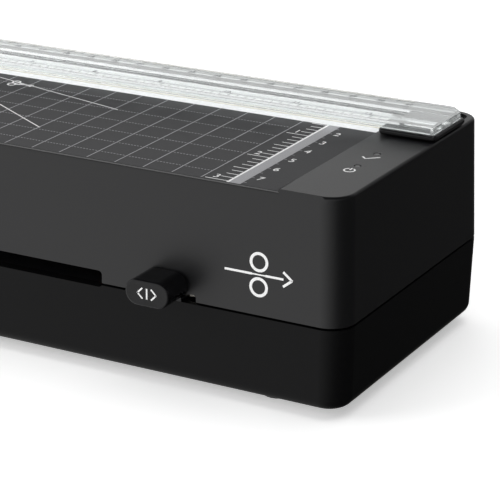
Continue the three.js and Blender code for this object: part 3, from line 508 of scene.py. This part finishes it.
def makeUpperCasing():
    base, top = upperLow.z, upperHigh.z
    draft = math.tan(math.radians(shell["upperDraft"]))
    wall, reach = shell["wall"], shell["reach"]
    body = roundedBlock("upperCasing", *insetBox(0, base, top), shell["cornerRadius"], 2, 14)
    drawIn(body, top, draft * (top - base))
    bevelWhere(body, rimWhere(2, top), shell["topEdge"], 5)
    bevelWhere(body, rimWhere(2, base), shell["rimEdge"], 2)
    ceiling = shell["ceiling"]
    hollow = insetRing("hollow", wall, base - 1 * mm, ceiling)
    drawIn(hollow, ceiling, draft * (ceiling - base))
    cutAway(body, hollow)
    addTo(body, *rodsAt("boss", screwPlaces, shell["boss"], base, ceiling + 1 * mm, 32))
    half, bedRear = shell["panelStart"], stripHigh.y + 1 * mm
    recess = blockOf("recess", (-half, frontY - reach, matHigh.z), (half, bedRear, top + reach))
    pocket = blockOf("pocket", (-half, matLow.y - gap, shell["deck"]), (half, bedRear, top))
    trough = roundedBlock(
        "trough", (-shell["troughEnd"], stripHigh.y + gap, shell["troughFloor"]),
        (shell["troughEnd"], shell["troughRear"], top + reach), 4 * mm)
    bevelWhere(trough, rimWhere(2, shell["troughFloor"]), shell["troughEdge"], 3)
    lenses = [centreOf("power_lens"), centreOf("ready_lens")]
    cutAway(
        body, recess, pocket, trough,
        *rodsAt("lensHole", lenses, shell["lensHole"], top - 9 * mm, top + reach, 32),
        *rodsAt("bore", screwPlaces, shell["screwBore"], base - 1 * mm, base + shell["boreDepth"], 24),
        throughWall("pouchEntry", shell["slot"], shell["slotRadius"], frontY),
        throughWall("pouchExit", shell["slot"], shell["slotRadius"], rearY),
        throughWall("knobSlot", shell["knobSlot"], 1 * mm, frontY))
    lipFront = matLow.y - gap - shell["matLip"]

    def onLip(ends):
        return all(near(end.z, matHigh.z, 0.05 * mm) and near(end.y, lipFront, 0.3 * mm) for end in ends)

    def onPanel(ends):
        return all(near(end.z, top) and near(abs(end.x), half, 0.05 * mm) for end in ends)

    bevelWhere(body, onLip, shell["matLip"] * 0.85, 4)
    bevelWhere(body, onPanel, shell["panelEdge"], 2)
    finishPiece(body, "machine", looks["black_plastic"], ["upper_housing"])


def makeLowerCasing():
    base, rim = lowerLow.z, seamBelow
    draft = math.tan(math.radians(shell["lowerDraft"]))
    wall, reach = shell["wall"], shell["reach"]
    floor = base + wall
    body = roundedBlock("lowerCasing", *insetBox(0, base, rim), shell["cornerRadius"], 2, 14)
    drawIn(body, base, draft * (rim - base))
    bevelWhere(body, rimWhere(2, base), shell["bottomEdge"], 8)
    bevelWhere(body, rimWhere(2, rim), shell["rimEdge"], 2)
    hollow = insetRing("hollow", wall, floor, rim + 1 * mm)
    drawIn(hollow, floor, draft * (rim - floor))
    cutAway(body, hollow)
    ring = insetRing("lipRing", shell["ringInset"], rim - 3 * mm, rim - 0.5 * mm)
    addTo(ring, insetRing("lip", shell["lipInset"], rim - 1 * mm, rim + shell["lip"]))
    cutAway(ring, insetRing("ringHollow", shell["lipInner"], rim - 4 * mm, rim + 3 * mm))
    boardLow, boardHigh = boxOf("circuit_board")
    inset = shell["postInset"]
    postPlaces = [
        (x, y)
        for x in (boardLow.x + inset, boardHigh.x - inset)
        for y in (boardLow.y + inset, boardHigh.y - inset)]
    addTo(
        body, ring,
        *rodsAt("boss", screwPlaces, shell["boss"], floor - 1 * mm, rim, 32),
        *rodsAt("post", postPlaces, shell["boardPost"], floor - 1 * mm, boardLow.z - gap, 24))
    halfWidth, halfDepth = shell["ventSize"]
    middle = shell["ventMiddle"]
    vents = []
    for count in range(shell["vents"]):
        x = shell["ventFirst"] + count * shell["ventPitch"]
        vents.append(roundedBlock(
            "vent", (x - halfWidth, middle - halfDepth, 0),
            (x + halfWidth, middle + halfDepth, floor + 1 * mm), halfWidth - 0.1 * mm, 2, 6))
    spot = centreOf("switch_frame")
    halfX, halfZ = shell["switchHole"]
    switchHole = throughWall(
        "switchHole", ((spot.x - halfX, spot.z - halfZ), (spot.x + halfX, spot.z + halfZ)), 1 * mm, rearY)
    gland = centreOf("cable_gland")
    glandHole = rodOf(
        "glandHole", "y", shell["glandHole"], rearY - reach, rearY + reach, (gland.x, gland.z))
    (x0, z0), (x1, _) = shell["knobSlot"]
    knobRoom = blockOf("knobRoom", (x0, frontY + shell["knobRoom"], z0), (x1, frontY + reach, rim + 3 * mm))
    cutAway(
        body,
        *rodsAt("footSeat", footPlaces, shell["footSeat"], 0, base + 1 * mm, 48),
        *rodsAt("bore", screwPlaces, shell["screwBore"], 0, rim + 1 * mm, 24),
        *rodsAt("sink", screwPlaces, shell["screwSink"], 0, base + shell["sinkDepth"], 32),
        *vents, switchHole, glandHole, knobRoom,
        throughWall("pouchEntry", shell["slot"], shell["slotRadius"], frontY),
        throughWall("pouchExit", shell["slot"], shell["slotRadius"], rearY))
    # the base takes the black ABS painted darker and less shiny: painted shade
    finishPiece(body, "machine", shadedLowerAbs, ["lower_housing"])


makeUpperCasing()
makeLowerCasing()
print("casing done")


# print on the mat

matPrint = {
    "thickness": 0.03 * mm,
    "pitch": 10 * mm,
    "lastLine": 130 * mm,
    "lines": 29,
    "rows": 6,
    "lastRow": 14 * mm,
    "lineWidth": 0.32 * mm,
    "dot": (0.6 * mm, 0.28 * mm),
    "dotPitch": 1.1 * mm,
    "scaleLine": 139.1 * mm,
    "scaleWidth": 0.8 * mm,
    "bandEnd": 143.3 * mm,
    "scaleZero": 34 * mm,  # y that the scale counts forward from
    "inch": 25.4 * mm,
    "tickWidth": 0.3 * mm,
    "inchTick": 8 * mm,
    "halfInchTick": 5.6 * mm,
    "eighthTick": 4.4 * mm,
    "digitHeight": 3.2 * mm,
    "centimetreDigits": 146.2 * mm,
    "inchDigits": 133.6 * mm,
    "steepAngle": (  # two guide lines across the grid: start, end and width
        (34.5 * mm, -9.2 * mm), (60.3 * mm, -24.3 * mm), 0.4 * mm),
    "flatAngle": ((15.6 * mm, 17.7 * mm), (71.4 * mm, 4.2 * mm), 0.34 * mm),
    "scissors": (26.4 * mm, 14 * mm),
}


def inkMark(x0, y0, x1, y1, level, thickness=None):
    return blockOf("mark", (x0, y0, level), (x1, y1, level + (thickness or matPrint["thickness"])))


def inkLine(start, end, width, level):  # a straight line at any angle on a level face
    length = math.dist(start, end)
    line = inkMark(-length / 2, -width / 2, length / 2, width / 2, 0)
    line.location = ((start[0] + end[0]) / 2, (start[1] + end[1]) / 2, level)
    line.rotation_euler.z = math.atan2(end[1] - start[1], end[0] - start[0])
    return settle(line, "line")


def digit(text, place, height, level):  # a numeral lying on a level face
    makeActive(None)
    bpy.ops.object.text_add(location=(place[0], place[1], level))
    numeral = bpy.context.object
    numeral.data.body = text
    numeral.data.size = height * 1.35
    numeral.data.align_x = "CENTER"
    numeral.data.align_y = "CENTER"
    numeral.data.extrude = matPrint["thickness"] / 2
    numeral.data.resolution_u = 4
    makeActive(numeral)
    bpy.ops.object.convert(target="MESH")
    numeral = bpy.context.object
    numeral.location.z = level + matPrint["thickness"] / 2
    return settle(numeral, "numeral")


def ringMark(place, radius, width, level, sides=40):  # a flat ring: a disc with a smaller one cut out
    outer = rodOf("ring", "z", radius, level, level + matPrint["thickness"], place, sides)
    hole = rodOf("hole", "z", radius - width, level - 1 * mm, level + 1 * mm, place, sides)
    return cutAway(outer, hole)


def makeGridPrint():
    level = matHigh.z
    front, rear = matLow.y + 0.3 * mm, matHigh.y - 0.2 * mm
    half = matPrint["lineWidth"] / 2
    last, row = matPrint["lastLine"], matPrint["lastRow"]
    pitch, dotPitch = matPrint["pitch"], matPrint["dotPitch"]
    line = inkMark(last - half, front, last + half, rear, level)
    repeatAlong(line, matPrint["lines"], (-pitch, 0, 0))
    length, width = matPrint["dot"]
    dot = inkMark(last - length, row - width / 2, last, row + width / 2, level)
    repeatAlong(dot, int((matPrint["lines"] - 1) * pitch / dotPitch), (-dotPitch, 0, 0))
    repeatAlong(dot, matPrint["rows"], (0, -pitch, 0))
    finishPiece(joinAll("matGridPrint", [line, dot]), "machine", inkGrey, smooth=0)


def makeScalePrint():
    level = matHigh.z
    front, rear = matLow.y + 0.1 * mm, matHigh.y - 0.1 * mm
    lineX, bandEnd = matPrint["scaleLine"], matPrint["bandEnd"]
    zero, inch = matPrint["scaleZero"], matPrint["inch"]
    half = matPrint["scaleWidth"] / 2
    band = inkMark(lineX + half, front, bandEnd, rear, level)
    lastHalf = zero - 75 * mm  # ticks each half centimetre
    halves = inkMark(bandEnd, lastHalf - 0.12 * mm, bandEnd + 1 * mm, lastHalf + 0.12 * mm, level)
    repeatAlong(halves, 13, (0, 5 * mm, 0))
    finishPiece(joinAll("matScaleBand", [band, halves]), "machine", inkPale, smooth=0)
    marks = [inkMark(lineX - half, front, lineX + half, rear, level)]
    for tick in range(4, 25):  # eighths of an inch, from a half to three inches
        y = zero - tick * inch / 8
        length = "inchTick" if tick % 8 == 0 else "halfInchTick" if tick % 4 == 0 else "eighthTick"
        width = matPrint["tickWidth"]
        marks.append(inkMark(lineX - matPrint[length], y - width / 2, lineX, y + width / 2, level))
    tall = matPrint["digitHeight"]
    for count in range(2, 8):
        spot = (matPrint["centimetreDigits"], zero - count * matPrint["pitch"])
        marks.append(digit(str(count), spot, tall, level))
    for count in range(1, 4):
        spot = (matPrint["inchDigits"], zero - count * inch + 2.6 * mm)
        marks.append(digit(str(count), spot, tall, level))
    marks.append(inkLine(*matPrint["steepAngle"], level))
    marks.append(inkLine(*matPrint["flatAngle"], level))
    x, y = matPrint["scissors"]
    for side in (-1, 1):  # two crossed blades, each with its finger ring
        tail = (x - 1 * mm, y + side * 1 * mm)
        tip = (x + 5 * mm, y - side * 0.9 * mm)
        marks.append(inkLine(tail, tip, 0.7 * mm, level))
        marks.append(ringMark((x - 2.4 * mm, y + side * 1.5 * mm), 1.6 * mm, 0.6 * mm, level))
    finishPiece(joinAll("matScalePrint", marks), "machine", inkWhite, smooth=0)


iconLook = {
    "tick": (  # ends of its two strokes
        ((-2.4 * mm, 0.2 * mm), (-0.7 * mm, -1.4 * mm)),
        ((-0.95 * mm, -1.4 * mm), (2.7 * mm, 1.8 * mm))),
    "tickWidth": 0.55 * mm,
    "tickFromLens": (-0.3 * mm, -4.6 * mm),
    "ring": (1.9 * mm, 0.5 * mm),
    "ringFromLens": (-0.3 * mm, -4.9 * mm),
    "gate": 0.7 * mm,  # half of the gap in the ring
}


def makeLampIcons():  # a tick beside the ready lamp, a broken ring with a bar beside the power lamp
    level = upperHigh.z
    ready, power = centreOf("ready_lens"), centreOf("power_lens")
    x, y = ready.x + iconLook["tickFromLens"][0], ready.y + iconLook["tickFromLens"][1]
    strokes = [[(x + right, y + up) for right, up in stroke] for stroke in iconLook["tick"]]
    marks = [inkLine(start, end, iconLook["tickWidth"], level) for start, end in strokes]
    x, y = power.x + iconLook["ringFromLens"][0], power.y + iconLook["ringFromLens"][1]
    radius, width = iconLook["ring"]
    ring = ringMark((x, y), radius, width, level)
    half = iconLook["gate"]
    gate = blockOf("gate", (x - half, y + 0.4 * mm, level - 1 * mm), (x + half, y + 3 * mm, level + 1 * mm))
    marks += [cutAway(ring, gate), inkLine((x, y + 0.2 * mm), (x, y + 2.1 * mm), width, level)]
    finishPiece(joinAll("lampIcons", marks), "machine", inkWhite, smooth=0)


badgeLook = {
    "middle": (151 * mm, 43 * mm),
    "thickness": 0.05 * mm,
    "roller": (3.1 * mm, 2.2 * mm),  # outer and inner radius
    "rollerRise": 3.9 * mm,
    "pouch": (  # start, end and half of the width, thinner between the rollers
        (-11.5 * mm, -2.2 * mm, 0.35 * mm),
        (-2.3 * mm, 2.3 * mm, 0.2 * mm),
        (2.2 * mm, 8.2 * mm, 0.35 * mm)),
    "arrow": (1.9 * mm, 0.38 * mm),  # half of each arm's length and width
    "arrowPlace": (9.6 * mm, 1.1 * mm),
    "arrowTurn": 38,  # degrees
}


def makeFrontBadge():  # a pouch passing between two rollers, printed on the sloping front face
    x, z = badgeLook["middle"]
    depth = badgeLook["thickness"]
    face = frontY + math.tan(math.radians(shell["upperDraft"])) * (z - upperLow.z)
    outer, inner = badgeLook["roller"]
    marks = []
    for up in (1, -1):
        spot = (x, z + up * badgeLook["rollerRise"])
        roller = rodOf("roller", "y", outer, face - depth, face, spot)
        marks.append(cutAway(roller, rodOf("core", "y", inner, face - 1 * mm, face + 1 * mm, spot)))
    for start, end, half in badgeLook["pouch"]:
        marks.append(blockOf("pouch", (x + start, face - depth, z - half), (x + end, face, z + half)))
    length, width = badgeLook["arrow"]
    along, rise = badgeLook["arrowPlace"]
    for up in (1, -1):
        head = blockOf("arrow", (-length, -depth / 2, -width), (length, depth / 2, width))
        head.location = (x + along, face - depth / 2, z + up * rise)
        head.rotation_euler.y = up * math.radians(badgeLook["arrowTurn"])
        marks.append(settle(head, "arrow"))
    badge = joinAll("frontBadge", marks)
    makeActive(badge)
    bpy.context.scene.cursor.location = (x, face, z)
    bpy.ops.object.origin_set(type="ORIGIN_CURSOR")
    badge.rotation_euler.x = -math.radians(shell["upperDraft"])
    settle(badge, "frontBadge")
    bpy.context.scene.cursor.location = (0, 0, 0)
    bpy.ops.object.origin_set(type="ORIGIN_CURSOR")
    finishPiece(badge, "machine", inkWhite, smooth=0)


makeGridPrint()
makeScalePrint()
makeLampIcons()
makeFrontBadge()
print("print on the mat and casing done")


# release knob

knobLook = {
    "flatten": 0.05 * mm,
    "rim": 1.1 * mm,
    "faceInset": 0.9 * mm,
    "faceDip": 0.25 * mm,
    "stem": ((114.1 * mm, 30.2 * mm), (125.4 * mm, 32.2 * mm)),
    "headBottom": 30.95 * mm,
    "headBack": -46.5 * mm,
    "print": 0.05 * mm,
    "chevron": (1.3 * mm, 0.24 * mm),  # half of each arm's length and width
    "chevronPlace": (2.4 * mm, 0.8 * mm),
    "barSize": (0.25 * mm, 1.7 * mm),
}


def makeKnob():
    front, back = knobLow.y, knobLook["headBack"]
    radius = (knobHigh.z - knobLook["headBottom"]) / 2
    low = (knobLow.x, front, knobLook["headBottom"])
    high = (knobHigh.x, back, knobHigh.z)
    head = roundedBlock("releaseButton", low, high, radius - knobLook["flatten"], 1, 20)
    pick(head, "polygons", lambda corners: all(near(c.y, front) for c in corners))
    bpy.ops.mesh.inset(thickness=knobLook["faceInset"] + knobLook["rim"])
    bpy.ops.transform.translate(value=(0, knobLook["faceDip"], 0))
    leaveEdit()
    bevelWhere(head, rimWhere(1, front), knobLook["rim"] * 0.7, 6)
    (x0, z0), (x1, z1) = knobLook["stem"]
    stem = blockOf("stem", (x0, back - 1 * mm, z0), (x1, knobHigh.y, z1))
    addTo(head, stem)
    finishPiece(head, "release", looks["gloss_black"], ["release_knob"])
    x, z, depth = (low[0] + high[0]) / 2, (low[2] + high[2]) / 2, knobLook["print"]
    face = front + knobLook["faceDip"]
    length, width = knobLook["chevron"]
    along, rise = knobLook["chevronPlace"]
    marks = []
    for side in (-1, 1):  # two chevrons apart: push sideways to let go
        for up in (-1, 1):
            arm = blockOf("arm", (-length, -depth / 2, -width), (length, depth / 2, width))
            arm.location = (x + side * along, face - depth / 2, z + up * rise)
            arm.rotation_euler.y = side * up * math.radians(45)
            marks.append(settle(arm, "arm"))
    halfX, halfZ = knobLook["barSize"]
    marks.append(blockOf("bar", (x - halfX, face - depth, z - halfZ), (x + halfX, face, z + halfZ)))
    finishPiece(joinAll("releaseSymbol", marks), "release", inkWhite, smooth=0)


makeKnob()
print("knob done")


# clear ruler rail

railLook = {
    "edge": 0.3 * mm,
    "top": 74.8 * mm,
    "plateBottom": 73.6 * mm,
    "bottom": 72.4 * mm,
    "leg": 1.6 * mm,
    "slit": 2.2 * mm,
    "slitLeft": -153 * mm,
    "slitRight": 162.3 * mm,
    "channel": 7.4 * mm,
    "channelWall": 1.1 * mm,
    "pin": ((-168 * mm, 75.2 * mm), 1.8 * mm),
    "knuckle": 4 * mm,
    "corner": 4.3 * mm,  # half of the turned square that takes off the rear corner
    "cornerOut": 1.1 * mm,
    "scaleStart": -150 * mm,
    "ink": 0.02 * mm,
    "millimetre": (0.18 * mm, 1.7 * mm),  # width and length of a tick
    "halfCentimetre": (0.22 * mm, 2.5 * mm),
    "eighth": (0.2 * mm, 1.5 * mm),
    "inch": (0.25 * mm, 2.7 * mm),
    "tickInset": 0.9 * mm,
    "digitHeight": 2 * mm,
}
slitY = centreOf("cutting_insert").y


def makeRail():
    front, rear, end = railLow.y, railHigh.y, railHigh.x
    top, bottom = railLook["top"], railLook["bottom"]
    plate, leg = railLook["plateBottom"], railLook["leg"]
    (pinX, pinZ), bore = railLook["pin"]
    left = pinX + railLook["knuckle"] - 0.6 * mm
    body = blockOf("clearRail", (left, front, bottom), (end, rear, top))
    inner = (railLook["channel"] - railLook["channelWall"]) / 2
    outer = (railLook["channel"] + railLook["channelWall"]) / 2
    cutAway(
        body,
        blockOf("frontBay", (left - 1 * mm, front + leg, bottom - 1 * mm),
                (end - leg, slitY - outer, plate)),
        blockOf("rearBay", (left - 1 * mm, slitY + outer, bottom - 1 * mm),
                (end - leg, rear - leg, plate)),
        blockOf("channel", (railLook["slitLeft"] - 1 * mm, slitY - inner, plate),
                (railLook["slitRight"] + 1 * mm, slitY + inner, top + 1 * mm)))
    square, out = railLook["corner"], railLook["cornerOut"]
    corner = blockOf("corner", (-square, -square, -3 * mm), (square, square, 3 * mm))
    corner.location = (end + out, rear + out, top - 1 * mm)
    corner.rotation_euler.z = math.radians(45)
    cutAway(body, settle(corner, "corner"))
    half = railLook["slit"] / 2
    floorCut = roundedBlock("slit", (railLook["slitLeft"], slitY - half, bottom - 1 * mm),
                            (railLook["slitRight"], slitY + half, top + 1 * mm), half * 0.95, 2, 8)
    cutAway(body, floorCut)
    knuckle = rodOf("knuckle", "y", railLook["knuckle"], front, rear, (pinX, pinZ))
    addTo(body, knuckle)
    cutAway(body, rodOf("pinBore", "y", bore, front - 1 * mm, rear + 1 * mm, (pinX, pinZ), 32))
    softenEdges(body, railLook["edge"], 2)
    finishPiece(body, "rail", looks["clear_acrylic"], ["ruler_rail"])
    body.visible_shadow = False


def makeRailScales():  # centimetres along the rear flange, eighths of an inch along the front one
    level, start, inset = railLook["top"], railLook["scaleStart"], railLook["tickInset"]
    front, rear, inch = railLow.y + inset, railHigh.y - inset, matPrint["inch"]
    marks = []
    for kind, count, pitch in (("millimetre", 311, 1 * mm), ("halfCentimetre", 63, 5 * mm)):
        width, length = railLook[kind]
        tick = inkMark(start, rear - length, start + width, rear, level, railLook["ink"])
        marks.append(repeatAlong(tick, count, (pitch, 0, 0)))
    for kind, count, pitch in (("eighth", 98, inch / 8), ("inch", 13, inch)):
        width, length = railLook[kind]
        tick = inkMark(start, front, start + width, front + length, level, railLook["ink"])
        marks.append(repeatAlong(tick, count, (pitch, 0, 0)))
    tall = railLook["digitHeight"]
    for count in range(1, 32):
        marks.append(digit(str(count), (start + count * 10 * mm, rear - 4.1 * mm), tall, level))
    for count in range(1, 13):
        marks.append(digit(str(count), (start + count * inch - 2 * mm, front + 3.5 * mm), tall, level))
    finishPiece(joinAll("railScales", marks), "rail", inkDark, smooth=0)


makeRail()
makeRailScales()
print("rail done")


# CAD nodes that stay: each gets its own finish, and the ones that show get rounded edges

softened = {  # width of the rounded edge on the nodes that can be seen
    "base_strip": 0.25 * mm,
    "cutting_insert": 0.1 * mm,
    "rail_seat": 0.4 * mm,
    "hinge_block": 0.5 * mm,
    "hinge_pin": 0.2 * mm,
    "blade_carriage": 0.45 * mm,
    "blade_holder": 0.4 * mm,
    "switch_frame": 0.3 * mm,
    "switch_rocker": 0.3 * mm,
    "cable_gland": 0.25 * mm,
    **{f"foot_{end}_{side}": 0.3 * mm for end in ("front", "rear") for side in ("left", "right")},
}


def dressCadNodes():
    for entry in frame["record"]["subparts"]:
        node = frame["nodes"][entry["node"]]
        node.data.materials.clear()
        node.data.materials.append(looks[entry["material_slot"]])
        if entry["node"] in softened:
            weld = node.modifiers.new("Weld", "WELD")
            weld.merge_threshold = 0.002 * mm
            edges = node.modifiers.new("Bevel", "BEVEL")
            edges.width = softened[entry["node"]]
            edges.segments = 2
            edges.limit_method = "ANGLE"
            edges.angle_limit = math.radians(40)


dressCadNodes()
print("CAD nodes dressed")
